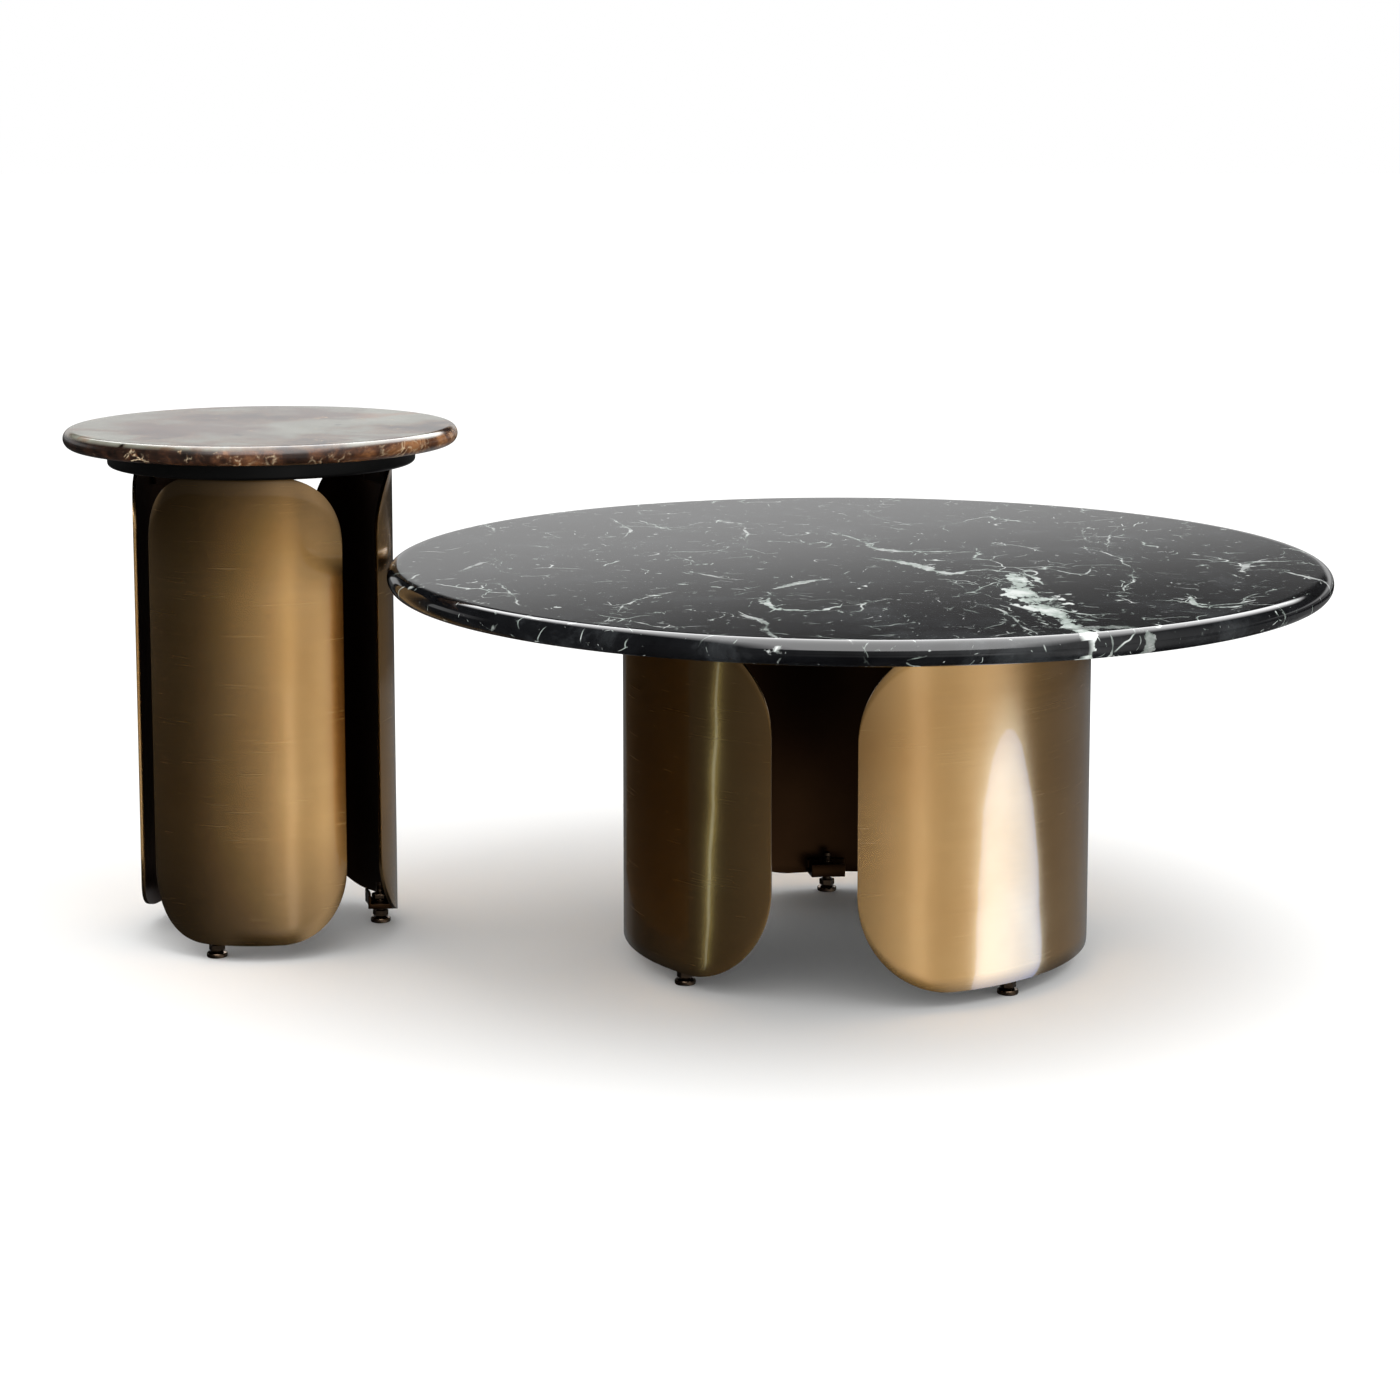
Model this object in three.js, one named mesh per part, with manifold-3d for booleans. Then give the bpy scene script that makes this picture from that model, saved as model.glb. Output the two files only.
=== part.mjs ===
// Pair of nesting tables: a low coffee table and a taller side table that stands over its rim.
// Millimetres, +Z up, floor at z = 0. Angles are degrees from the front (-Y), turning towards +X.
import * as THREE from 'three';
import Module from 'manifold-3d';

const wasm = await Module();
wasm.setup();
const { Manifold, Mesh } = wasm;

// ---- sizes shared by both tables -------------------------------------------------------------
const GAP = 0.3;                 // air between pieces that touch in use
const SHEET = 4;                 // brass panel thickness
const PANEL_FOOT = 18;           // height of the panels' lower edge above the floor
const PLATE = 20;                // sub-plate thickness
const PLATE_EASE = 4;            // eased edge of the sub-plate
const FLANGE = { reach: 35, drop: 30, t: 4, width: 70, screwIn: 20 };
const SCREW = { r: 3, headR: 6, headH: 3.5, bite: 13 };
const CHANNEL = { reach: 28, h: 15, t: 5, wall: 3, width: 44, lift: 1 };
const STEM = { r: 5, top: 45, hexAF: 15, hexH: 7, hexLift: 1 };
const PAD = { r: 11.25, h: 6, ease: 1.5, socket: 2.5 };
const BUSH = { wall: 2, collar: 2.2, collarH: 2.7 };
const NUT = { af: 17, h: 5 };

// ---- the two tables ----------------------------------------------------------------------------
const COFFEE = {
  name: 'coffee', height: 425, topR: 500, topT: 25, plateR: 350, baseR: 250,
  corner: 102, span: 99.6, panels: [47.5, 167.5, -72.5], feet: [40, 185, -52],
  topSegs: 90, edgeSegs: 4, cols: 18, marble: 0x17181a,
};
const SIDE = {
  name: 'side', height: 560, topR: 212, topT: 20, plateR: 166, baseR: 140,
  corner: 75, span: 96, panels: [-4, 116, 236], feet: [-20, 102, 222],
  topSegs: 64, edgeSegs: 4, cols: 16, marble: 0x4a3a30,
};
const NEST_CLEAR = 7;            // gap between the coffee table's rim and the side table's base
const NEST_BEARING = 173.6;      // direction from coffee centre to side centre, from +X

const rad = THREE.MathUtils.degToRad;
const nest = COFFEE.topR + NEST_CLEAR + SIDE.baseR;
const sideX = nest * Math.cos(rad(NEST_BEARING));
COFFEE.x = -(sideX - SIDE.topR + COFFEE.topR) / 2;
COFFEE.y = 0;
SIDE.x = COFFEE.x + sideX;
SIDE.y = nest * Math.sin(rad(NEST_BEARING));

// ---- closed bodies -------------------------------------------------------------------------------
function body(points, faces) {
  const g = new THREE.BufferGeometry();
  g.setAttribute('position', new THREE.Float32BufferAttribute(points.flat(), 3));
  g.setIndex(faces.flat());
  return g;
}

// Sweep an (r, z) outline, drawn anticlockwise, about the Z axis from a0 to a1.
// A full turn closes on itself; a part turn gets a flat cap at each end.
function sweep(outline, a0, a1, n) {
  const full = Math.abs(a1 - a0 - 360) < 1e-6;
  const rings = full ? n : n + 1;
  const points = [];
  const id = [];
  for (let j = 0; j < rings; j++) {
    const a = rad(a0 + ((a1 - a0) * j) / n - 90);
    id.push(outline.map(([r, z], i) => {
      if (full && r === 0 && j > 0) return id[0][i];
      points.push([r * Math.cos(a), r * Math.sin(a), z]);
      return points.length - 1;
    }));
  }
  const faces = [];
  const m = outline.length;
  for (let j = 0; j < n; j++) {
    const p = id[j];
    const q = id[(j + 1) % rings];
    for (let i = 0; i < m; i++) {
      const k = (i + 1) % m;
      if (outline[i][0] === 0 && outline[k][0] === 0) continue;
      if (p[i] !== q[i]) faces.push([p[i], q[i], q[k]]);
      if (p[k] !== q[k]) faces.push([p[i], q[k], p[k]]);
    }
  }
  if (!full) {
    const flat = outline.map(([r, z]) => new THREE.Vector2(r, z));
    for (const [a, b, c] of THREE.ShapeUtils.triangulateShape(flat, [])) {
      faces.push([id[0][a], id[0][b], id[0][c]], [id[n][a], id[n][c], id[n][b]]);
    }
  }
  return body(points, faces);
}

const toSolid = (g) => new Manifold(new Mesh({
  numProp: 3,
  vertProperties: new Float32Array(g.attributes.position.array),
  triVerts: new Uint32Array(g.index.array),
}));
function fromSolid(s) {
  const m = s.getMesh();
  const g = new THREE.BufferGeometry();
  g.setAttribute('position', new THREE.BufferAttribute(new Float32Array(m.vertProperties), 3));
  g.setIndex(new THREE.BufferAttribute(new Uint32Array(m.triVerts), 1));
  return g;
}
const rod = (r, z0, z1, x = 0, y = 0, n = 14) =>
  Manifold.cylinder(z1 - z0, r, r, n).translate([x, y, z0]);
const hex = (af, z0, z1) => rod(af / 2 / Math.cos(rad(30)), z0, z1, 0, 0, 6);
const spot = (r, deg) => [r * Math.sin(rad(deg)), -r * Math.cos(rad(deg))];

// Disc outline with a rounded or eased edge.
function disc(R, z0, z1, ease, n) {
  const pts = [[0, z0]];
  for (let i = 0; i <= n; i++) {
    const a = rad(-90 + (90 * i) / n);
    pts.push([R - ease + ease * Math.cos(a), z0 + ease + ease * Math.sin(a)]);
  }
  for (let i = z1 - z0 > 2 * ease + 1e-6 ? 0 : 1; i <= n; i++) {
    const a = rad((90 * i) / n);
    pts.push([R - ease + ease * Math.cos(a), z1 - ease + ease * Math.sin(a)]);
  }
  pts.push([0, z1]);
  return pts;
}

// Curved sheet with a quarter-round at each of its four corners.
function panel(t, mid, z0, z1) {
  const half = rad(t.span / 2) * t.baseR;
  const flat = half - t.corner;
  const cols = [];
  const bend = 7;
  for (let i = 0; i <= bend; i++) {
    const a = rad((90 * i) / bend);
    cols.push([-flat - t.corner * Math.cos(a), t.corner * (1 - Math.sin(a))]);
  }
  for (let i = 1; i < t.cols; i++) cols.push([-flat + (2 * flat * i) / t.cols, 0]);
  for (let i = bend; i >= 0; i--) cols.push([-cols[i][0], cols[i][1]]);
  const points = [];
  for (const [s, cut] of cols) {
    const a = s / t.baseR + rad(mid - 90);
    for (const [r, z] of [[t.baseR - SHEET, z0 + cut], [t.baseR, z0 + cut],
      [t.baseR, z1 - cut], [t.baseR - SHEET, z1 - cut]]) {
      points.push([r * Math.cos(a), r * Math.sin(a), z]);
    }
  }
  const faces = [[0, 1, 2], [0, 2, 3]];
  const last = 4 * (cols.length - 1);
  for (let j = 0; j < cols.length - 1; j++) {
    for (let i = 0; i < 4; i++) {
      const k = (i + 1) % 4;
      const [a, b, c, d] = [4 * j + i, 4 * j + 4 + i, 4 * j + 4 + k, 4 * j + k];
      faces.push([a, b, c], [a, c, d]);
    }
  }
  faces.push([last, last + 2, last + 1], [last, last + 3, last + 2]);
  return body(points, faces);
}

// ---- assembly ---------------------------------------------------------------------------------------
const group = new THREE.Group();
group.name = 'nesting_tables';
function add(t, name, geometry, color, metalness = 0, roughness = 0.5) {
  const g = geometry.index ? geometry.toNonIndexed() : geometry;
  g.computeVertexNormals();
  g.translate(t.x, t.y, 0);
  const mesh = new THREE.Mesh(g, new THREE.MeshStandardMaterial({ color, metalness, roughness }));
  mesh.name = `${t.name}_${name}`;
  group.add(mesh);
}

for (const t of [COFFEE, SIDE]) {
  const plateTop = t.height - t.topT - GAP;
  const panelTop = plateTop - PLATE - GAP;
  const inner = t.baseR - SHEET - GAP;       // outer radius of what is welded inside the panels
  const degOf = (width, r) => THREE.MathUtils.radToDeg(width / r);

  const bull = t.topT / 2;
  add(t, 'top', sweep(disc(t.topR, t.height - t.topT, t.height, bull, t.edgeSegs), 0, 360, t.topSegs),
    t.marble, 0, 0.12);

  const screwR = inner - FLANGE.screwIn;
  let plate = toSolid(sweep(disc(t.plateR, plateTop - PLATE, plateTop, PLATE_EASE, 2), 0, 360, 54));
  for (const mid of t.panels) {
    const [x, y] = spot(screwR, mid);
    plate = plate.subtract(rod(SCREW.r + GAP, plateTop - PLATE - 1,
      plateTop - PLATE + SCREW.bite, x, y, 10));
  }
  add(t, 'subplate', fromSolid(plate), 0x111112, 0, 0.35);

  t.panels.forEach((mid, i) => {
    add(t, `panel_${i + 1}`, panel(t, mid, PANEL_FOOT, panelTop), 0xa88b5c, 1, 0.35);

    // angle flange inside the panel's top edge, screwed up into the sub-plate
    const fw = degOf(FLANGE.width / 2, inner);
    const low = panelTop - FLANGE.t;
    const [x, y] = spot(screwR, mid);
    const angle = sweep([[inner - FLANGE.reach, low], [inner - FLANGE.t, low],
      [inner - FLANGE.t, panelTop - FLANGE.drop], [inner, panelTop - FLANGE.drop],
      [inner, panelTop], [inner - FLANGE.reach, panelTop]], mid - fw, mid + fw, 6);
    add(t, `flange_${i + 1}`, fromSolid(toSolid(angle)
      .subtract(rod(SCREW.r + GAP, low - 1, panelTop + 1, x, y, 10))), 0x2a2420, 0.9, 0.5);
    const head = low - GAP;
    add(t, `screw_${i + 1}`, fromSolid(rod(SCREW.headR, head - SCREW.headH, head, x, y, 10)
      .add(rod(SCREW.r, head - 1, plateTop - PLATE + SCREW.bite - GAP, x, y, 10))), 0x3a3a3c, 1, 0.4);
  });

  t.feet.forEach((deg, i) => {
    // channel welded inside the panel's lower edge, with its open side up
    const z0 = PANEL_FOOT + CHANNEL.lift;
    const z1 = z0 + CHANNEL.t;
    const zt = z0 + CHANNEL.h;
    const r0 = inner - CHANNEL.reach;
    const cw = degOf(CHANNEL.width / 2, inner);
    const footR = inner - CHANNEL.reach / 2;
    const [x, y] = spot(footR, deg);
    const bushR = STEM.r + GAP + BUSH.wall;
    const channel = sweep([[r0, z0], [inner, z0], [inner, zt], [inner - CHANNEL.wall, zt],
      [inner - CHANNEL.wall, z1], [r0 + CHANNEL.wall, z1], [r0 + CHANNEL.wall, zt], [r0, zt]],
    deg - cw, deg + cw, 6);
    add(t, `channel_${i + 1}`, fromSolid(toSolid(channel)
      .subtract(rod(bushR + GAP, z0 - 1, z1 + 1, x, y, 16))), 0x2a2420, 0.9, 0.5);

    // threaded bush through the channel, jam nut above it
    const bore = STEM.r + GAP;
    const place = (g) => { g.translate(x, y, 0); return g; };
    const collar = z1 + GAP;
    const nutLow = collar + BUSH.collarH + GAP;
    add(t, `bush_${i + 1}`, place(sweep([[bore, z0 + GAP], [bushR, z0 + GAP], [bushR, collar],
      [bushR + BUSH.collar, collar], [bushR + BUSH.collar, collar + BUSH.collarH],
      [bore, collar + BUSH.collarH]], 0, 360, 14)), 0x6b6259, 1, 0.4);
    add(t, `jam_nut_${i + 1}`, place(fromSolid(hex(NUT.af, nutLow, nutLow + NUT.h)
      .subtract(rod(bore, nutLow - 1, nutLow + NUT.h + 1)))), 0x4c4743, 1, 0.4);

    // levelling stem standing in the socket of its round pad
    const sole = PAD.h - PAD.socket;
    const hexLow = PAD.h + STEM.hexLift;
    add(t, `stem_${i + 1}`, place(fromSolid(rod(STEM.r, sole + GAP, STEM.top)
      .add(hex(STEM.hexAF, hexLow, hexLow + STEM.hexH)))), 0x4c4743, 1, 0.35);
    add(t, `pad_${i + 1}`, place(sweep([[0, 0], [PAD.r - PAD.ease, 0], [PAD.r, PAD.ease],
      [PAD.r, PAD.h - PAD.ease], [PAD.r - PAD.ease, PAD.h], [STEM.r + GAP, PAD.h],
      [STEM.r + GAP, sole], [0, sole]], 0, 360, 18)), 0x2b2725, 0.9, 0.4);
  });
}

export default group;
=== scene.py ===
import math

import bpy
from mathutils import Matrix, Vector, kdtree, noise


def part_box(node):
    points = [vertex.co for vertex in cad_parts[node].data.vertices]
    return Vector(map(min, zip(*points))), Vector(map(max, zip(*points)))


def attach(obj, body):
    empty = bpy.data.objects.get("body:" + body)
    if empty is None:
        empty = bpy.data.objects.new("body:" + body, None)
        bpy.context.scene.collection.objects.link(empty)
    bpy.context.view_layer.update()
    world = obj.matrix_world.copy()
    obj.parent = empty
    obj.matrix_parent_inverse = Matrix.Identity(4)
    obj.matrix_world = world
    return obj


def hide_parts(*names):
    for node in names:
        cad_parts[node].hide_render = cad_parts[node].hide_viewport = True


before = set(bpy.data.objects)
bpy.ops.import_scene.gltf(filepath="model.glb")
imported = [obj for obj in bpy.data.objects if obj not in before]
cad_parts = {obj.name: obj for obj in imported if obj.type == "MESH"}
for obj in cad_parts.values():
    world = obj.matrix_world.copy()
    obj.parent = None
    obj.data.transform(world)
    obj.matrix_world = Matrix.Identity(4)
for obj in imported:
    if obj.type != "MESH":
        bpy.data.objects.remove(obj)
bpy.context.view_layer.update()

# ---- Studio: floor, light and camera ---------------------------------------------------------------
# A plain pale floor in an even white room, which lights all matt surfaces. Polished stone and brass see
# a room of its own: bright and dark stretches around the walls and a soft box overhead.


def linear(hexa):
    """An sRGB hex colour as linear RGBA."""
    parts = [int(hexa[i:i + 2], 16) / 255 for i in (1, 3, 5)]
    return tuple(c / 12.92 if c <= 0.04045 else ((c + 0.055) / 1.055) ** 2.4 for c in parts) + (1.0,)


def add(tree, kind, inputs=None, stops=(), **settings):
    """Adds a node, sets it up and feeds its inputs with values, sockets or the first output of nodes.

    stops are the (place, colour or grey level) pairs of a colour ramp.
    """
    node = tree.nodes.new(kind)
    for key, value in settings.items():
        setattr(node, key, value)
    for key, value in (inputs or {}).items():
        if isinstance(value, bpy.types.Node):
            value = value.outputs[0]
        if isinstance(value, bpy.types.NodeSocket):
            tree.links.new(value, node.inputs[key])
        else:
            node.inputs[key].default_value = value
    if stops:
        band = node.color_ramp.elements
        while len(band) < len(stops):
            band.new(1.0)
        for stop, (place, colour) in zip(band, stops):
            stop.position = place
            stop.color = colour if isinstance(colour, tuple) else (colour, colour, colour, 1.0)
    return node


def surface(name, **sockets):
    """A new material with its shader's sockets set, and its node tree and shader."""
    mat = bpy.data.materials.new(name)
    mat.use_nodes = True
    shader = mat.node_tree.nodes["Principled BSDF"]
    for key, value in sockets.items():
        shader.inputs[key.replace("_", " ")].default_value = value
    return mat, mat.node_tree, shader


FLOOR_SIZE = 60.0
floor_mesh = bpy.data.meshes.new("studio_floor")
half = FLOOR_SIZE / 2
floor_mesh.from_pydata([(-half, -half, 0), (half, -half, 0), (half, half, 0), (-half, half, 0)], [],
                       [(0, 1, 2, 3)])
studio_floor = bpy.data.objects.new("studio_floor", floor_mesh)
bpy.context.scene.collection.objects.link(studio_floor)
paper, _, paper_shader = surface("matt_white_paper", Roughness=0.9, Specular_IOR_Level=0.0)
paper_shader.inputs["Base Color"].default_value = linear("#F6F6F5")
floor_mesh.materials.append(paper)
studio_floor.visible_glossy = False      # the soft boxes stand on the floor's place in reflections
studio_floor.visible_shadow = False      # and one lamp shines from partly below it

# What polished surfaces see around the room, as (turn from -X through the front, light) pairs:
# 0.25 is the front and 0.5 is +X. NEARBY is the floor by the tables, BEYOND the room past it.
NEARBY = [(0.000, 0.036), (0.030, 0.036), (0.067, 0.045),
          (0.108, 0.07), (0.139, 0.105), (0.181, 0.15), (0.222, 0.235), (0.256, 0.30), (0.278, 0.42),
          (0.310, 0.60), (0.324, 1.05), (0.336, 1.05), (0.347, 0.62), (0.360, 0.46), (0.378, 0.48),
          (0.394, 0.58), (0.411, 0.74), (0.431, 0.70), (0.453, 0.55), (0.475, 0.32), (0.500, 0.15),
          (0.542, 0.17), (0.583, 0.18), (0.640, 0.17), (0.700, 0.17), (0.800, 0.085), (0.853, 0.026),
          (0.900, 0.014), (1.000, 0.036)]
BEYOND = [(0.000, 0.030), (0.050, 0.030), (0.108, 0.04), (0.139, 0.06),
          (0.181, 0.09), (0.222, 0.14), (0.262, 0.27), (0.301, 0.46), (0.342, 0.63), (0.400, 0.74),
          (0.440, 0.78), (0.460, 0.60), (0.490, 0.30), (0.520, 0.08), (0.600, 0.03), (0.800, 0.05),
          (1.000, 0.035)]
OPEN = [(0.000, 0.04), (0.100, 0.06), (0.139, 0.09), (0.181, 0.13), (0.222, 0.20), (0.262, 0.32),
        (0.310, 0.60), (0.360, 0.62), (0.417, 0.75), (0.480, 0.45), (0.540, 0.15), (0.620, 0.12),
        (0.680, 0.30), (0.740, 0.34), (0.800, 0.12), (0.860, 0.03), (1.000, 0.04)]  # above and below both
BACK_WALL = [(0.00, 0.66), (0.52, 0.68), (0.60, 0.56), (0.64, 0.36), (0.665, 0.24), (0.69, 0.14),
             (0.72, 0.07), (0.78, 0.03), (1.00, 0.03)]          # by height, up to 0.25 of straight up
OVERHEAD = 5.5               # the soft box overhead, as polished surfaces see it
EVEN = 1.25                  # the white room that lights matt surfaces
room = bpy.data.worlds.new("studio")
bpy.context.scene.world = room
room.use_nodes = True
room.cycles.sampling_method = "NONE"
sky = room.node_tree
sky.nodes.clear()
way = add(sky, "ShaderNodeTexCoord").outputs["Generated"]
axes = add(sky, "ShaderNodeSeparateXYZ", {0: way})
# Around the horizon: BEYOND, then NEARBY further down, and OPEN well above or below both.
turn = add(sky, "ShaderNodeTexGradient", {"Vector": way}, gradient_type="RADIAL").outputs["Fac"]
dim = add(sky, "ShaderNodeMapRange", {"Value": axes.outputs["Z"], "From Min": -0.165, "From Max": -0.140,
                                      "To Min": 1.0, "To Max": 0.35})
beyond = add(sky, "ShaderNodeValToRGB", {"Fac": turn}, BEYOND)
beyond = add(sky, "ShaderNodeVectorMath", {0: beyond, "Scale": dim}, operation="SCALE")
near = add(sky, "ShaderNodeMapRange", {"Value": axes.outputs["Z"], "From Min": -0.180, "From Max": -0.195})
nearby = add(sky, "ShaderNodeValToRGB", {"Fac": turn}, NEARBY)
ring = add(sky, "ShaderNodeMix", {0: near, 6: beyond, 7: nearby}, data_type="RGBA")
apart = add(sky, "ShaderNodeMath", {0: axes.outputs["Z"], 1: 0.2175}, operation="ADD")
apart = add(sky, "ShaderNodeMath", {0: apart}, operation="ABSOLUTE")
apart = add(sky, "ShaderNodeMapRange", {"Value": apart, "From Min": 0.115, "From Max": 0.140})
clear = add(sky, "ShaderNodeValToRGB", {"Fac": turn}, OPEN)
ring = add(sky, "ShaderNodeMix", {0: apart, 6: ring.outputs[2], 7: clear}, data_type="RGBA")
# A strip over the top and under the floor: dark below, and the soft box above.
off = add(sky, "ShaderNodeMath", {0: axes.outputs["X"], 1: 0.10}, operation="SUBTRACT")
off = add(sky, "ShaderNodeMath", {0: off}, operation="ABSOLUTE")
strip = add(sky, "ShaderNodeMapRange", {"Value": off, "From Min": 0.55, "From Max": 0.35})
under = add(sky, "ShaderNodeMapRange", {"Value": axes.outputs["Z"], "From Min": -0.38, "From Max": -0.48,
                                        "To Max": 0.92})
under = add(sky, "ShaderNodeMath", {0: under, 1: strip}, operation="MULTIPLY")
under = add(sky, "ShaderNodeMath", {0: 1.0, 1: under}, operation="SUBTRACT")
ring = add(sky, "ShaderNodeVectorMath", {0: ring.outputs[2], "Scale": under}, operation="SCALE")
# The back wall gets darker with height, and a little sooner on the right.
lean = add(sky, "ShaderNodeMath", {0: axes.outputs["X"], 1: 0.10, 2: axes.outputs["Z"]},
           operation="MULTIPLY_ADD")
lean = add(sky, "ShaderNodeMath", {0: lean, 1: 4.0}, operation="MULTIPLY")
wall = add(sky, "ShaderNodeValToRGB", {"Fac": lean}, BACK_WALL)
to_back = add(sky, "ShaderNodeMapRange", {"Value": axes.outputs["Y"], "From Min": 0.15, "From Max": 0.45})
above = add(sky, "ShaderNodeMapRange", {"Value": axes.outputs["Z"], "From Min": 0.0, "From Max": 0.02})
is_wall = add(sky, "ShaderNodeMath", {0: to_back, 1: above}, operation="MULTIPLY")
sides = add(sky, "ShaderNodeMix", {0: is_wall, 6: ring, 7: wall}, data_type="RGBA")
start = add(sky, "ShaderNodeMapRange", {"Value": axes.outputs["Y"], "From Min": -0.6, "From Max": 0.6,
                                        "To Min": 0.42, "To Max": 0.34})
rise = add(sky, "ShaderNodeMath", {0: axes.outputs["Z"], 1: start}, operation="SUBTRACT")
rise = add(sky, "ShaderNodeMapRange", {"Value": rise, "From Min": 0.0, "From Max": 0.06})
lit = add(sky, "ShaderNodeMath", {0: rise, 1: strip}, operation="MULTIPLY")
seen = add(sky, "ShaderNodeMix", {0: lit, 6: sides.outputs[2], 7: (OVERHEAD, OVERHEAD, OVERHEAD, 1.0)},
           data_type="RGBA")
ray = add(sky, "ShaderNodeLightPath")
even = add(sky, "ShaderNodeMix", {0: ray.outputs["Is Camera Ray"], 6: (EVEN, EVEN, EVEN, 1.0),
                                  7: (1.0, 1.0, 1.0, 1.0)}, data_type="RGBA")
even = add(sky, "ShaderNodeMix", {0: ray.outputs["Is Glossy Ray"], 6: even.outputs[2],
                                  7: seen.outputs[2]}, data_type="RGBA")
add(sky, "ShaderNodeOutputWorld", {0: add(sky, "ShaderNodeBackground", {"Color": even.outputs[2]})})

soft_box = bpy.data.objects.new("soft_box", bpy.data.lights.new("soft_box", "AREA"))
soft_box.data.shape, soft_box.data.size, soft_box.data.size_y = "RECTANGLE", 2.4, 2.4
soft_box.data.energy = 30.0
soft_box.location = (0.9, -0.9, 2.6)
soft_box.rotation_euler = (-soft_box.location).to_track_quat("-Z", "Y").to_euler()
soft_box.visible_camera = False
soft_box.visible_glossy = False
bpy.context.scene.collection.objects.link(soft_box)
# Two lamps stand beside the low table and shine on one brass panel each: a low window of daylight on
# the right, whose lower part carries on below the floor, and a thin leaning tube on the left.
# (name, panel, place, turn and lean in degrees, height, width, watts, colour)
LAMPS = [("window_glow", 1, (0.659, -0.280, -0.100), 90, 0, 0.62, 0.34, 1.66, (0.28, 0.45, 1.00)),
         ("tube_glow", 3, (-0.140, -0.235, 0.156), -90, 6.2, 0.40, 0.008, 0.012, (0.62, 0.84, 0.86))]
lit_panels = {}
for name, panel, spot, facing, leaning, tall, wide, power, colour in LAMPS:
    lamp = bpy.data.objects.new(name, bpy.data.lights.new(name, "AREA"))
    lamp.data.shape, lamp.data.size, lamp.data.size_y = "ELLIPSE", tall, wide
    lamp.data.energy, lamp.data.color = power, colour
    lamp.location = spot
    lamp.rotation_euler = (Matrix.Rotation(math.radians(leaning), 3, "X")
                           @ Matrix.Rotation(math.radians(facing), 3, "Y")).to_euler()
    lamp.visible_camera = False
    lamp.visible_diffuse = False
    lit_panels[f"coffee_brass_panel_{panel}"] = bpy.data.collections.new(name)
    lamp.light_linking.receiver_collection = lit_panels[f"coffee_brass_panel_{panel}"]
    bpy.context.scene.collection.objects.link(lamp)
# A one-sided dark flag between the tables keeps the tall one's glow out of the low one's left panel.
flag_mesh = bpy.data.meshes.new("black_flag")
flag_x, flag_front, flag_back, flag_top = -0.20, -0.17, 0.30, 0.37
flag_mesh.from_pydata([(flag_x, flag_front, 0), (flag_x, flag_back, 0), (flag_x, flag_back, flag_top),
                       (flag_x, flag_front, flag_top)], [], [(0, 1, 2, 3)])
black_flag = bpy.data.objects.new("black_flag", flag_mesh)
bpy.context.scene.collection.objects.link(black_flag)
cloth, cloth_tree, cloth_shader = surface("black_cloth", Roughness=1.0, Specular_IOR_Level=0.0)
cloth_shader.inputs["Base Color"].default_value = linear("#4C4234")
front = add(cloth_tree, "ShaderNodeMath", {
    0: 1.0, 1: add(cloth_tree, "ShaderNodeNewGeometry").outputs["Backfacing"]}, operation="SUBTRACT")
cloth_tree.links.new(front.outputs[0], cloth_shader.inputs["Alpha"])
flag_mesh.materials.append(cloth)
for ray_kind in ("camera", "diffuse", "shadow", "transmission", "volume_scatter"):
    setattr(black_flag, "visible_" + ray_kind, False)

camera = bpy.data.objects.new("camera", bpy.data.cameras.new("camera"))
camera.data.lens, camera.data.sensor_width, camera.data.shift_y = 78.5, 36.0, -0.15
camera.location = (0.0102, -3.2213, 0.9211)
LOOK_DOWN = 0.1305           # radians, about 7.5 degrees
camera.rotation_euler = (math.pi / 2 - LOOK_DOWN, 0.0, 0.0)
bpy.context.scene.collection.objects.link(camera)
bpy.context.scene.camera = camera
bpy.context.scene.view_settings.view_transform = "Standard"

# ---- Levelling feet --------------------------------------------------------------------------------
# Steel hardware, turned and plated with black zinc: a round pad, a threaded stem with a hex for
# the spanner, a flanged bush in the channel above and a jam nut. Each foot screws up and down.

TABLES = ("coffee", "side")
ROD_R = 0.0050
BORE_R = ROD_R + 0.0003      # with the CAD's air gap round the stem
HEX_FLATS, NUT_FLATS, HEX_CHAMFER = 0.015, 0.017, 0.0008
THREAD_PITCH, THREAD_DEPTH = 0.0015, 0.0009


def turned(rings, turns=48):
    """A closed body turned about the Z axis from an (r, z) outline drawn anticlockwise."""
    points, faces, loops = [], [], []
    for r, z in rings:
        if r < 1e-9:
            loops.append([len(points)] * turns)
            points.append((0.0, 0.0, z))
        else:
            loops.append(list(range(len(points), len(points) + turns)))
            points += [(r * math.cos(2 * math.pi * j / turns), r * math.sin(2 * math.pi * j / turns), z)
                       for j in range(turns)]
    for a, b in zip(loops, loops[1:] + loops[:1]):
        for j in range(turns):
            k = (j + 1) % turns
            face = list(dict.fromkeys((a[j], a[k], b[k], b[j])))
            if len(face) > 2:
                faces.append(face)
    mesh = bpy.data.meshes.new("turned")
    mesh.from_pydata(points, [], faces)
    return mesh


def joined(*meshes):
    """Several meshes as one, each kept as its own closed body."""
    points, faces = [], []
    for mesh in meshes:
        start = len(points)
        points += [v.co[:] for v in mesh.vertices]
        faces += [[start + i for i in f.vertices] for f in mesh.polygons]
    mesh = bpy.data.meshes.new("joined")
    mesh.from_pydata(points, [], faces)
    return mesh


def piece(name, mesh, body, finishes, nodes, at=(0.0, 0.0, 0.0), crease=35):
    """Puts a mesh in its place in the frame, ties it to its body and finish, and hides the CAD nodes it
    stands in for.
    """
    mesh.transform(Matrix.Translation(at))
    mesh.name = name
    if not mesh.materials:
        for finish in finishes:
            mesh.materials.append(finish)
    mesh.shade_smooth()
    mesh.set_sharp_from_angle(angle=math.radians(crease))
    obj = bpy.data.objects.new(name, mesh)
    bpy.context.scene.collection.objects.link(obj)
    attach(obj, body)
    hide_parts(*nodes)
    return obj


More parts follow.
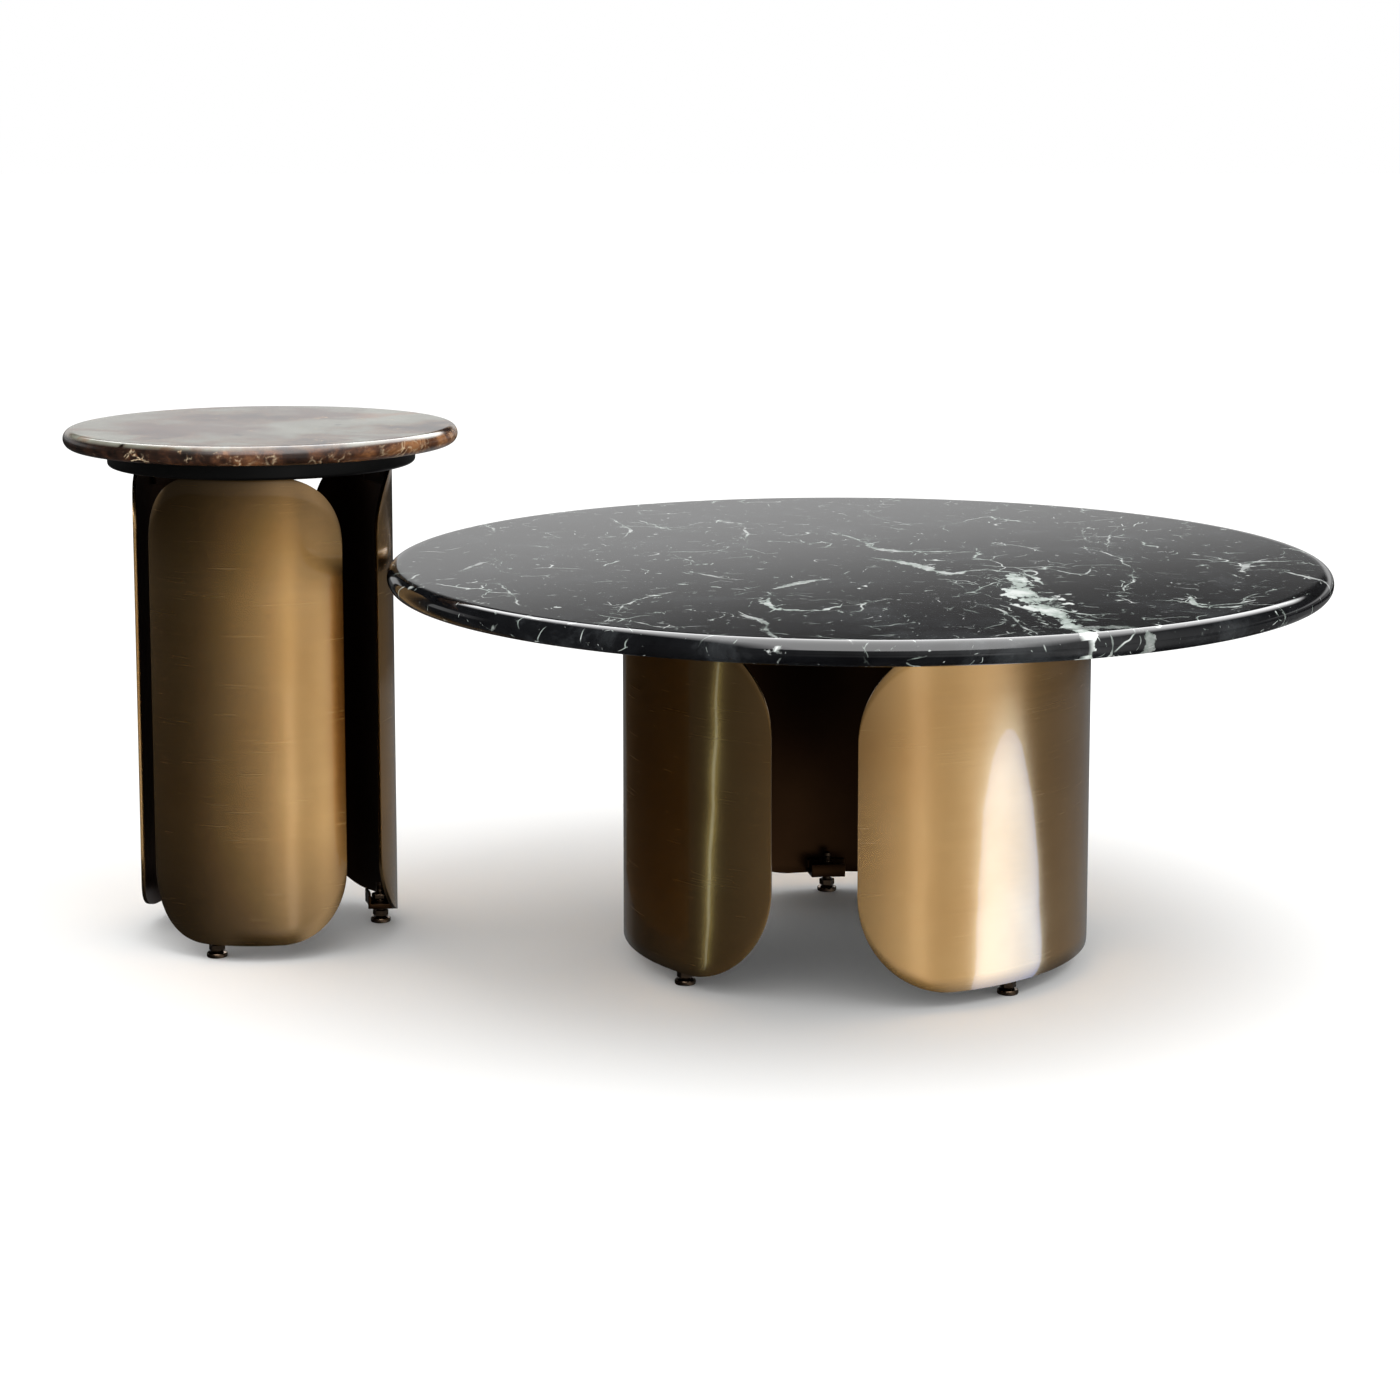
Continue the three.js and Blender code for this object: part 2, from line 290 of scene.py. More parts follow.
def grown(tree, values):
    """The mesh that a geometry tree makes with these named sizes."""
    host = bpy.data.objects.new("host", bpy.data.meshes.new("host"))
    bpy.context.scene.collection.objects.link(host)
    grow = host.modifiers.new("grow", "NODES")
    grow.node_group = tree
    for item in tree.interface.items_tree:
        if item.in_out == "INPUT" and item.name in values:
            grow[item.identifier] = values[item.name]
    bpy.context.view_layer.update()
    mesh = bpy.data.meshes.new_from_object(host.evaluated_get(bpy.context.evaluated_depsgraph_get()))
    host.modifiers.remove(grow)
    bpy.data.objects.remove(host)
    return mesh


def tree_of(name, sizes):
    """An empty geometry tree with named sizes in and a mesh out."""
    tree = bpy.data.node_groups.new(name, "GeometryNodeTree")
    for size, start in sizes.items():
        tree.interface.new_socket(size, in_out="INPUT", socket_type="NodeSocketFloat").default_value = start
    tree.interface.new_socket("Geometry", in_out="OUTPUT", socket_type="NodeSocketGeometry")
    return tree, tree.nodes.new("NodeGroupInput").outputs


def deliver(tree, geometry, finish):
    """Ends a geometry tree: real geometry with its material on."""
    real = add(tree, "GeometryNodeRealizeInstances", {0: geometry})
    painted = add(tree, "GeometryNodeSetMaterial", {0: real, "Material": finish})
    add(tree, "NodeGroupOutput", {0: painted})


# Black zinc over turned steel: dark, slightly brown, with fine tool rings 0.4 mm apart up the piece
# (scale 2500) and stains about 4.5 mm across (scale 220).
blackened_steel, tree, shader = surface("blackened_steel", Metallic=1.0, Roughness=0.34)
where = add(tree, "ShaderNodeTexCoord").outputs["Object"]
rings = add(tree, "ShaderNodeTexNoise", {"Vector": add(tree, "ShaderNodeMapping", {
    0: where, "Scale": (60.0, 60.0, 2500.0)}), "Scale": 1.0, "Detail": 2.0})
stain = add(tree, "ShaderNodeTexNoise", {"Vector": where, "Scale": 220.0, "Detail": 3.0})
plating = add(tree, "ShaderNodeMix", {0: stain.outputs[0], 6: linear("#2A221C"), 7: linear("#6E5C4B")},
               data_type="RGBA")
tree.links.new(plating.outputs[2], shader.inputs["Base Color"])
rough = add(tree, "ShaderNodeMapRange", {"Value": rings.outputs[0], "To Min": 0.16, "To Max": 0.34})
tree.links.new(rough.outputs[0], shader.inputs["Roughness"])
tree.links.new(add(tree, "ShaderNodeBump", {"Height": rings.outputs[0], "Strength": 0.2,
                                            "Distance": 0.0002}).outputs[0], shader.inputs["Normal"])

thread, size = tree_of("rolled_thread", {"Radius": 0.005, "Pitch": 0.0015, "Length": 0.03})
spiral = add(thread, "GeometryNodeCurveSpiral", {
    "Resolution": 16, "Start Radius": size["Radius"], "End Radius": size["Radius"],
    "Height": size["Length"],
    "Rotations": add(thread, "ShaderNodeMath", {0: size["Length"], 1: size["Pitch"]},
                     operation="DIVIDE")})
ridge = add(thread, "GeometryNodeCurvePrimitiveCircle", {
    "Resolution": 3, "Radius": add(thread, "ShaderNodeMath", {0: size["Pitch"], 1: 0.5},
                                   operation="MULTIPLY")})
deliver(thread, add(thread, "GeometryNodeCurveToMesh", {0: spiral, 1: ridge, "Fill Caps": True}),
        blackened_steel)


def hexagon(flats, low, high, hole=0.0):
    """A hexagon bar length with chamfered corners, drilled through if it is a nut."""
    r = flats / 2 / math.cos(math.radians(30))
    outer = [(r - HEX_CHAMFER, low), (r, low + HEX_CHAMFER), (r, high - HEX_CHAMFER), (r - HEX_CHAMFER, high)]
    return turned([(hole, low)] + outer + [(hole, high)], 6)


for table in TABLES:
    for i in (1, 2, 3):
        low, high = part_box(f"{table}_pad_{i}")
        spot = ((low.x + high.x) / 2, (low.y + high.y) / 2, 0.0)
        pad_r, pad_h = (high.x - low.x) / 2, high.z
        stem_low, stem_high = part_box(f"{table}_stem_{i}")
        sole = stem_low.z - 0.0003
        pad = turned([(0, 0), (pad_r - 0.0012, 0), (pad_r - 0.0003, 0.0004), (pad_r, 0.0013),
                      (pad_r, 0.0038), (pad_r - 0.0006, 0.0048), (pad_r - 0.0030, 0.0056),
                      (ROD_R + 0.0022, pad_h), (ROD_R + 0.0004, pad_h), (BORE_R, sole), (0, sole)])
        piece(f"{table}_foot_pad_{i}", pad, f"{table}_foot_pad_{i}", [blackened_steel],
              [f"{table}_pad_{i}"], spot)

        hex_low, hex_high = pad_h + 0.001, pad_h + 0.008
        top = stem_high.z
        core_r = ROD_R - THREAD_DEPTH
        rod = turned([(0, stem_low.z), (ROD_R - 0.0004, stem_low.z), (ROD_R, stem_low.z + 0.0004),
                      (ROD_R, hex_high + 0.001), (core_r, hex_high + 0.0016), (core_r, top - 0.0006),
                      (core_r - 0.0006, top), (0, top)], 32)
        winding = grown(thread, {"Radius": ROD_R - 0.00075, "Pitch": THREAD_PITCH,
                                 "Length": top - hex_high - 0.0042})
        winding.transform(Matrix.Translation((0, 0, hex_high + 0.0026)))
        piece(f"{table}_foot_stem_{i}", joined(rod, hexagon(HEX_FLATS, hex_low, hex_high), winding),
              f"{table}_foot_stem_{i}", [blackened_steel], [f"{table}_stem_{i}"], spot)

        low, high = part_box(f"{table}_bush_{i}")
        collar = (high.x - low.x) / 2
        step = high.z - 0.0027
        bush = turned([(BORE_R, low.z), (collar - 0.0022, low.z), (collar - 0.0022, step), (collar, step),
                       (collar, high.z - 0.0005), (collar - 0.0005, high.z), (BORE_R, high.z)], 32)
        piece(f"{table}_foot_bush_{i}", bush, f"{table}_table", [blackened_steel],
              [f"{table}_bush_{i}"], spot)
        low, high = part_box(f"{table}_jam_nut_{i}")
        piece(f"{table}_foot_nut_{i}", hexagon(NUT_FLATS, low.z, high.z, BORE_R), f"{table}_table",
              [blackened_steel], [f"{table}_jam_nut_{i}"], spot)

# ---- Channels and flanges inside the panels ----------------------------------------------------------
# Folded steel, powder coated dark bronze and welded inside each panel: a short channel near the floor
# holds the foot, and an angle flange at the top takes the screw that holds the black plate down.

SHEET = 0.004
WELD_GAP = 0.0003
FLANGE_REACH, FLANGE_HALF, FLANGE_THICK = 0.035, 0.035, 0.004
CHANNEL_REACH, CHANNEL_HALF, CHANNEL_FLOOR, CHANNEL_WALL = 0.028, 0.022, 0.005, 0.003
BASE = {"coffee": {"radius": 0.250, "panels": (47.5, 167.5, -72.5), "feet": (40, 185, -52)},
        "side": {"radius": 0.140, "panels": (-4, 116, 236), "feet": (-20, 102, 222)}}
for table in TABLES:
    low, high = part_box(f"{table}_top")
    BASE[table]["centre"] = ((low.x + high.x) / 2, (low.y + high.y) / 2, 0.0)


def bent_bar(outline, mid, half_width, n=14):
    """An (r, z) outline, drawn anticlockwise, swept about the Z axis; angles from the front."""
    m = len(outline)
    rows = [[(r * math.sin(a), -r * math.cos(a), z) for r, z in outline]
            for a in (math.radians(mid) + half_width * (2 * j / n - 1) for j in range(n + 1))]
    faces = [list(range(m)), [n * m + i for i in reversed(range(m))]]
    for j in range(n):
        for i in range(m):
            k = (i + 1) % m
            faces.append([j * m + i, (j + 1) * m + i, (j + 1) * m + k, j * m + k])
    mesh = bpy.data.meshes.new("bent_bar")
    mesh.from_pydata([p for row in rows for p in row], [], faces)
    return mesh


def eased(mesh, width, segments=2, angle=40):
    """The same mesh with its sharp edges rounded."""
    host = bpy.data.objects.new("host", mesh)
    bpy.context.scene.collection.objects.link(host)
    bevel = host.modifiers.new("ease", "BEVEL")
    bevel.width, bevel.segments, bevel.limit_method = width, segments, "ANGLE"
    bevel.angle_limit = math.radians(angle)
    bpy.context.view_layer.update()
    made = bpy.data.meshes.new_from_object(host.evaluated_get(bpy.context.evaluated_depsgraph_get()))
    bpy.data.objects.remove(host)
    return made


# Powder coat over steel: near-black brown, an even satin. Scale 900 is the coat's orange peel, 1.1 mm
# across, and scale 14 is its slow change of tone, over 70 mm.
bronze_coat, tree, shader = surface("dark_bronze_finish", Metallic=1.0, Roughness=0.34)
where = add(tree, "ShaderNodeTexCoord").outputs["Object"]
peel = add(tree, "ShaderNodeTexNoise", {"Vector": where, "Scale": 900.0, "Detail": 2.0})
cloud = add(tree, "ShaderNodeTexNoise", {"Vector": where, "Scale": 14.0, "Detail": 3.0})
tone = add(tree, "ShaderNodeMix", {0: cloud.outputs[0], 6: linear("#2E1E12"), 7: linear("#402B1A")},
           data_type="RGBA")
tree.links.new(tone.outputs[2], shader.inputs["Base Color"])
tree.links.new(add(tree, "ShaderNodeBump", {"Height": peel.outputs[0], "Strength": 0.15,
                                            "Distance": 0.0002}).outputs[0], shader.inputs["Normal"])

for table in TABLES:
    inner = BASE[table]["radius"] - SHEET - WELD_GAP
    for i, mid in enumerate(BASE[table]["panels"], 1):
        low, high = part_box(f"{table}_flange_{i}")
        leg = high.z - FLANGE_THICK
        outline = [(inner - FLANGE_REACH, leg), (inner - FLANGE_THICK, leg), (inner - FLANGE_THICK, low.z),
                   (inner, low.z), (inner, high.z), (inner - FLANGE_REACH, high.z)]
        piece(f"{table}_top_flange_{i}", eased(bent_bar(outline, mid, FLANGE_HALF / inner), 0.0006),
              f"{table}_table", [bronze_coat], [f"{table}_flange_{i}"],
              BASE[table]["centre"])
    for i, mid in enumerate(BASE[table]["feet"], 1):
        low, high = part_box(f"{table}_channel_{i}")
        front, floor_z = inner - CHANNEL_REACH, low.z + CHANNEL_FLOOR
        outline = [(front, low.z), (inner, low.z), (inner, high.z), (inner - CHANNEL_WALL, high.z),
                   (inner - CHANNEL_WALL, floor_z), (front + CHANNEL_WALL, floor_z),
                   (front + CHANNEL_WALL, high.z), (front, high.z)]
        piece(f"{table}_foot_channel_{i}", eased(bent_bar(outline, mid, CHANNEL_HALF / inner), 0.0007),
              f"{table}_table", [bronze_coat], [f"{table}_channel_{i}"],
              BASE[table]["centre"])

# ---- Flange screws -----------------------------------------------------------------------------------
# One steel button-head screw goes up through each flange into the black plate and holds the top down.
# They are plated black like the feet, and stand a third of a turn from each other.

screws, size = tree_of("flange_screws", {"Ring radius": 0.2, "Height": 0.375, "First": 0.0})
HEAD_R, DOME_R = 0.0059, 0.0034
head = add(screws, "GeometryNodeMeshCylinder", {"Vertices": 28, "Radius": HEAD_R, "Depth": 0.0018})
dome = add(screws, "GeometryNodeMeshCone", {"Vertices": 28, "Radius Top": HEAD_R, "Radius Bottom": DOME_R,
                                            "Depth": 0.0016})
dome = add(screws, "GeometryNodeTransform", {0: dome, "Translation": (0, 0, -0.00345)})
head = add(screws, "GeometryNodeTransform", {0: head, "Translation": (0, 0, -0.0009)})
screw = add(screws, "GeometryNodeJoinGeometry")
for part in (dome, head):
    screws.links.new(part.outputs[0], screw.inputs[0])
ring = add(screws, "GeometryNodeMeshCircle", {"Vertices": 3, "Radius": size["Ring radius"]})
turn = add(screws, "GeometryNodeTransform", {
    0: ring, "Rotation": add(screws, "ShaderNodeCombineXYZ", {"Z": size["First"]}),
    "Translation": add(screws, "ShaderNodeCombineXYZ", {"Z": size["Height"]})})
deliver(screws, add(screws, "GeometryNodeInstanceOnPoints", {"Points": turn, "Instance": screw}),
        blackened_steel)
for table in TABLES:
    inner = BASE[table]["radius"] - SHEET - WELD_GAP
    low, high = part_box(f"{table}_screw_1")
    mesh = grown(screws, {"Ring radius": inner - 0.020, "Height": low.z + 0.0035,
                          "First": math.radians(BASE[table]["panels"][0] - 90)})
    piece(f"{table}_flange_screws", mesh, f"{table}_table", [blackened_steel],
          [f"{table}_screw_{i}" for i in (1, 2, 3)], BASE[table]["centre"])

# ---- Brass panels --------------------------------------------------------------------------------------
# Each panel is one 4 mm sheet rolled to the ring's radius, with large round corners. The outside is
# brushed along the roll, toned to antique brass and lacquered; the inside is coated dark bronze.

CORNER = {"coffee": 0.102, "side": 0.075}
SPAN = {"coffee": 99.6, "side": 96.0}
EDGE_EASE = 0.0005
# Painted shade: each panel's brass is darkened towards its top and bottom ends, to 0.36 of its colour at the
# very end. This stands in for the dark underside of the top and the shaded floor that the panel would reflect
# there.
END_SHADE_OVER = {"coffee": 0.004, "side": 0.13}     # how far from its ends a panel is darkened: painted shade
END_SHADE_LEVEL = 0.36
BRUSH_SPACING = 0.0008       # real lines are about 0.2 mm apart and would not show

# Brushed brass under clear lacquer: lines run round the panel, so highlights stretch up and down it.
# Each line is about 110 mm long (scale 9), and the patina changes over 170 mm (scale 6).
brushed_brass, tree, shader = surface("brushed_antique_brass", Metallic=1.0, Roughness=0.25,
                                      Anisotropic=0.60, Coat_Weight=1.0, Coat_Roughness=0.04, Coat_IOR=1.5)
where = add(tree, "ShaderNodeTexCoord").outputs["Object"]
lines = add(tree, "ShaderNodeTexNoise", {"Vector": add(tree, "ShaderNodeMapping", {
    0: where, "Scale": (9.0, 9.0, 1 / BRUSH_SPACING)}), "Scale": 1.0, "Detail": 4.0, "Roughness": 0.65})
patina = add(tree, "ShaderNodeTexNoise", {"Vector": where, "Scale": 6.0, "Detail": 4.0})
brass = add(tree, "ShaderNodeValToRGB", {"Fac": patina}, [
    (0.30, linear("#DBA65E")), (0.70, linear("#EBBC78"))])
# Painted shade: a factor stored on each point darkens the brass towards the panel's top and bottom ends.
painted_end_shade = add(tree, "ShaderNodeAttribute", attribute_name="painted_end_shade").outputs["Fac"]
streak = add(tree, "ShaderNodeMapRange", {"Value": lines.outputs[0], "From Min": 0.3, "From Max": 0.7,
                                          "To Min": 0.95, "To Max": 1.028})
streak = add(tree, "ShaderNodeMath", {0: streak, 1: painted_end_shade}, operation="MULTIPLY")
tree.links.new(add(tree, "ShaderNodeVectorMath", {0: brass, "Scale": streak}, operation="SCALE").outputs[0],
               shader.inputs["Base Color"])
gloss = add(tree, "ShaderNodeMapRange", {"Value": lines.outputs[0], "From Min": 0.3, "From Max": 0.7,
                                         "To Min": 0.226, "To Max": 0.274})
tree.links.new(gloss.outputs[0], shader.inputs["Roughness"])
tree.links.new(add(tree, "ShaderNodeCombineXYZ", {"Z": 1.0}).outputs[0], shader.inputs["Tangent"])
# The rolled sheet is never quite true: shallow waves 90 mm long (scale 11) bend the reflections.
waves = add(tree, "ShaderNodeTexNoise", {"Vector": where, "Scale": 11.0, "Detail": 1.5})
true = add(tree, "ShaderNodeBump", {"Height": waves.outputs[0], "Strength": 1.0, "Distance": 0.0012})
tree.links.new(add(tree, "ShaderNodeBump", {"Height": lines.outputs[0], "Strength": 0.04,
                                            "Distance": 0.0001, "Normal": true}).outputs[0],
               shader.inputs["Normal"])
tree.links.new(true.outputs[0], shader.inputs["Coat Normal"])

rolled, size = tree_of("rolled_panel", {"Radius": 0.25, "Span": 1.7, "Corner": 0.1, "Bottom": 0.02,
                                        "Top": 0.38, "Facing": 0.0})
# Columns crowd towards the ends by a sine, and round corners cut each column short by cut.
grid = add(rolled, "GeometryNodeMeshGrid", {"Size X": 1.0, "Size Y": 1.0, "Vertices X": 121,
                                            "Vertices Y": 25})
flat = add(rolled, "ShaderNodeSeparateXYZ", {0: add(rolled, "GeometryNodeInputPosition")})
arc = add(rolled, "ShaderNodeMath", {0: size["Radius"], 1: size["Span"]}, operation="MULTIPLY")
arc = add(rolled, "ShaderNodeMath", {0: arc, 1: 0.5}, operation="MULTIPLY")
swing = add(rolled, "ShaderNodeMath", {0: flat.outputs["X"], 1: math.pi}, operation="MULTIPLY")
swing = add(rolled, "ShaderNodeMath", {0: swing}, operation="SINE")
along = add(rolled, "ShaderNodeMath", {0: arc, 1: swing}, operation="MULTIPLY")
past = add(rolled, "ShaderNodeMath", {0: along}, operation="ABSOLUTE")
for step, amount in (("SUBTRACT", arc), ("ADD", size["Corner"]), ("MAXIMUM", 0.0), ("POWER", 2.0)):
    past = add(rolled, "ShaderNodeMath", {0: past, 1: amount}, operation=step)
rest = add(rolled, "ShaderNodeMath", {0: size["Corner"], 1: 2.0}, operation="POWER")
for step, amount in (("SUBTRACT", past), ("MAXIMUM", 0.0)):
    rest = add(rolled, "ShaderNodeMath", {0: rest, 1: amount}, operation=step)
rest = add(rolled, "ShaderNodeMath", {0: rest}, operation="SQRT")
cut = add(rolled, "ShaderNodeMath", {0: size["Corner"], 1: rest}, operation="SUBTRACT")
foot = add(rolled, "ShaderNodeMath", {0: size["Bottom"], 1: cut}, operation="ADD")
crown = add(rolled, "ShaderNodeMath", {0: size["Top"], 1: cut}, operation="SUBTRACT")
height = add(rolled, "ShaderNodeMapRange", {"Value": flat.outputs["Y"], "From Min": -0.5, "From Max": 0.5,
                                            "To Min": foot, "To Max": crown})
angle = add(rolled, "ShaderNodeMath", {0: along, 1: size["Radius"]}, operation="DIVIDE")
angle = add(rolled, "ShaderNodeMath", {0: angle, 1: size["Facing"]}, operation="ADD")
x = add(rolled, "ShaderNodeMath", {0: angle}, operation="SINE")
y = add(rolled, "ShaderNodeMath", {0: angle}, operation="COSINE")
x = add(rolled, "ShaderNodeMath", {0: x, 1: size["Radius"]}, operation="MULTIPLY")
y = add(rolled, "ShaderNodeMath", {0: y, 1: size["Radius"]}, operation="MULTIPLY")
y = add(rolled, "ShaderNodeMath", {0: y, 1: -1.0}, operation="MULTIPLY")
bent = add(rolled, "GeometryNodeSetPosition", {0: grid, "Position": add(
    rolled, "ShaderNodeCombineXYZ", {"X": x, "Y": y, "Z": height})})
deliver(rolled, bent, brushed_brass)


def thick(mesh, depth):
    """The sheet given its wall towards the inside; the inner face takes the next material."""
    host = bpy.data.objects.new("host", mesh)
    bpy.context.scene.collection.objects.link(host)
    wall = host.modifiers.new("wall", "SOLIDIFY")
    wall.thickness, wall.offset, wall.material_offset = depth, -1.0, 1
    wall.use_even_offset = True
    bpy.context.view_layer.update()
    made = bpy.data.meshes.new_from_object(host.evaluated_get(bpy.context.evaluated_depsgraph_get()))
    bpy.data.objects.remove(host)
    return made


for table in TABLES:
    for i, mid in enumerate(BASE[table]["panels"], 1):
        low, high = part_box(f"{table}_panel_{i}")
        sheet = grown(rolled, {"Radius": BASE[table]["radius"], "Span": math.radians(SPAN[table]),
                               "Corner": CORNER[table], "Bottom": low.z, "Top": high.z,
                               "Facing": math.radians(mid)})
        sheet.materials.clear()
        sheet.materials.append(brushed_brass)
        sheet.materials.append(bronze_coat)
        # Painted shade: each point's factor falls from 1 to 0.36 as it nears the panel's top or bottom end.
        tone = sheet.attributes.new("painted_end_shade", "FLOAT", "POINT")
        gaps = [min(v.co.z - low.z, high.z - v.co.z) / END_SHADE_OVER[table] for v in sheet.vertices]
        tone.data.foreach_set("value", [END_SHADE_LEVEL + (1 - END_SHADE_LEVEL) * min(1.0, gap) for gap in gaps])
        panel = piece(f"{table}_brass_panel_{i}", eased(thick(sheet, SHEET), EDGE_EASE, 2, 60),
                      f"{table}_table", [], [f"{table}_panel_{i}"],
                      BASE[table]["centre"], crease=50)
        if panel.name in lit_panels:
            lit_panels[panel.name].objects.link(panel)

# ---- Black plates under the tops ---------------------------------------------------------------------
# A round board, sprayed with black lacquer, lies under each stone top, which is glued to it. The screws
# through the flanges hold it down on the ring of panels.

# Satin black lacquer on board: a soft even sheen. Scale 45 is the board's waviness, 22 mm long, and
# scale 900 is a fine unevenness of tone, 1.1 mm across.
black_lacquer, tree, shader = surface("black_satin_lacquer", Roughness=0.40, IOR=1.5,
                                      Specular_IOR_Level=0.25)
where = add(tree, "ShaderNodeTexCoord").outputs["Object"]
wave = add(tree, "ShaderNodeTexNoise", {"Vector": where, "Scale": 45.0, "Detail": 2.0})
dust = add(tree, "ShaderNodeTexNoise", {"Vector": where, "Scale": 900.0, "Detail": 1.0})
tone = add(tree, "ShaderNodeMix", {0: dust.outputs[0], 6: linear("#040404"), 7: linear("#0A0908")},
           data_type="RGBA")
tree.links.new(tone.outputs[2], shader.inputs["Base Color"])
gloss = add(tree, "ShaderNodeMapRange", {"Value": wave.outputs[0], "To Min": 0.34, "To Max": 0.46})
tree.links.new(gloss.outputs[0], shader.inputs["Roughness"])
tree.links.new(add(tree, "ShaderNodeBump", {"Height": wave.outputs[0], "Strength": 0.05,
                                            "Distance": 0.001}).outputs[0], shader.inputs["Normal"])


def rounded_disc(radius, low, high, ease, steps, inner_rings=()):
    """The outline of a round slab with both edges rounded, from its lower to its upper centre."""
    arcs = [math.radians(90 * s / steps) for s in range(steps + 1)]
    lower = [(radius - ease + ease * math.sin(a), low + ease - ease * math.cos(a)) for a in arcs]
    upper = [(radius - ease + ease * math.cos(a), high - ease + ease * math.sin(a)) for a in arcs]
    if high - low <= 2 * ease + 1e-9:
        upper = upper[1:]
    return [(0.0, low)] + lower + upper + [(r, high) for r in inner_rings] + [(0.0, high)]


for table in TABLES:
    low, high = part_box(f"{table}_subplate")
    plate = turned(rounded_disc((high.x - low.x) / 2, low.z, high.z, 0.004, 6), 256)
    piece(f"{table}_black_plate", plate, f"{table}_table", [black_lacquer],
          [f"{table}_subplate"], BASE[table]["centre"])

# ---- Stone tops ----------------------------------------------------------------------------------------
# Each top is one slab of marble, cut round, with a full round edge, polished and waxed. The low table's
# is black with white calcite veins; the tall table's is brown, clouded grey and red with cream veins.

# Main veins of the black slab: (width in mm, strength, points along it in mm from the slab's centre).
VEINS = [
    (46, 1.0, [(152, -109), (156, -197), (165, -280), (174, -358), (187, -454)]),
    (8, 0.9, [(168, -99), (178, -168)]),
    (14, 0.6, [(10, 133), (27, 71), (56, 49), (102, 49)]),
    (4, 0.7, [(68, -12), (100, -20)]),
    (16, 0.7, [(20, 1), (53, -37), (87, -103), (110, -89)]),
    (7, 0.7, [(110, -89), (133, -83), (163, -103)]),
    (3, 0.6, [(87, -139), (98, -193), (111, -200)]),
    (3, 0.9, [(247, 71), (270, 38), (282, -26), (277, -143), (250, -225), (255, -289)]),
    (3, 0.7, [(190, -54), (225, -109), (244, -54)]),
    (9, 0.8, [(316, -252), (317, -303), (341, -315), (362, -303)]),
    (3, 0.6, [(362, -303), (386, -299), (427, -303)]),
    (3, 0.6, [(363, -292), (378, -243), (419, -193)]),
    (7, 0.5, [(394, -83), (419, -33), (471, -16)]),
    (5, 0.6, [(425, -68), (451, -115), (471, -158)]),
    (3, 0.5, [(271, 224), (263, 140), (269, 112)]),
    (3, 0.6, [(309, 236), (287, 140), (276, 58)]),
    (6, 0.9, [(168, 306), (189, 291), (210, 273)]),
    (3, 0.6, [(27, 390), (41, 311), (71, 248)]),
    (5, 0.6, [(105, -285), (126, -345), (134, -409), (143, -457)]),
    (8, 0.8, [(171, -310), (191, -338), (212, -358)]),
    (3, 0.5, [(155, 117), (183, 89), (205, 49)]),
    (9, 0.8, [(-99, -225), (-97, -315), (-51, -333), (-32, -306)]),
    (3, 0.9, [(-32, -306), (-12, -297), (15, -267)]),
    (14, 0.6, [(-87, -197), (-66, -164), (-42, -143)]),
    (3, 0.7, [(-262, -409), (-232, -274), (-192, -225)]),
    (5, 0.8, [(-239, 286), (-196, 211), (-177, 199)]),
    (3, 0.6, [(-189, 236), (-161, 273)]),
    (7, 0.5, [(-147, 286), (-115, 256)]),
    (4, 0.7, [(-118, 231), (-115, 128), (-120, 56)]),
    (5, 0.5, [(-423, -103), (-397, -37), (-375, 16), (-359, 16)]),
    (4, 0.7, [(-372, -158), (-360, -215), (-339, -301)]),
    (4, 0.7, [(-274, 306), (-251, 236), (-250, 145)]),
    (10, 0.5, [(-127, -358), (-105, -409), (-98, -473)]),
    (3, 0.6, [(-263, -392), (-229, -389), (-204, -422), (-165, -417)]),
    (6, 0.9, [(-22, 187), (-1, 152), (20, 105)]),
    (4, 0.6, [(-421, 273), (-404, 224), (-405, 163)]),
    (4, 0.6, [(-193, 23), (-168, -47)]),
    (5, 0.5, [(-190, -83), (-165, -109), (-137, -139)]),
    (22, 0.35, [(179, -433), (227, -417), (261, -438)]),
]
VEIN_REACH = 0.016           # how far from a vein its sideways distance is kept
noise.seed_set(1)            # the veins' wander is taken from the clock unless it is seeded


def smooth_line(points, step=0.002):
    """A vein's corner points, in mm, as a wandering line of close points in metres."""
    path = [Vector(p) / 1000 for p in points]
    path = [path[0] * 2 - path[1]] + path + [path[-1] * 2 - path[-2]]
    line = []
    for a, b, c, d in zip(path, path[1:], path[2:], path[3:]):
        n = max(2, int((c - b).length / step))
        for s in (k / n for k in range(n)):
            line.append(0.5 * (2 * b + (c - a) * s + (2 * a - 5 * b + 4 * c - d) * s ** 2
                               + (3 * b - a - 3 * c + d) * s ** 3))
    line.append(path[-2])
    wander = [noise.noise_vector(Vector((p.x, p.y, 0)) * 26) * 0.006
              + noise.noise_vector(Vector((p.x, p.y, 3)) * 95) * 0.0022 for p in line]
    return [p + w.to_2d() for p, w in zip(line, wander)]


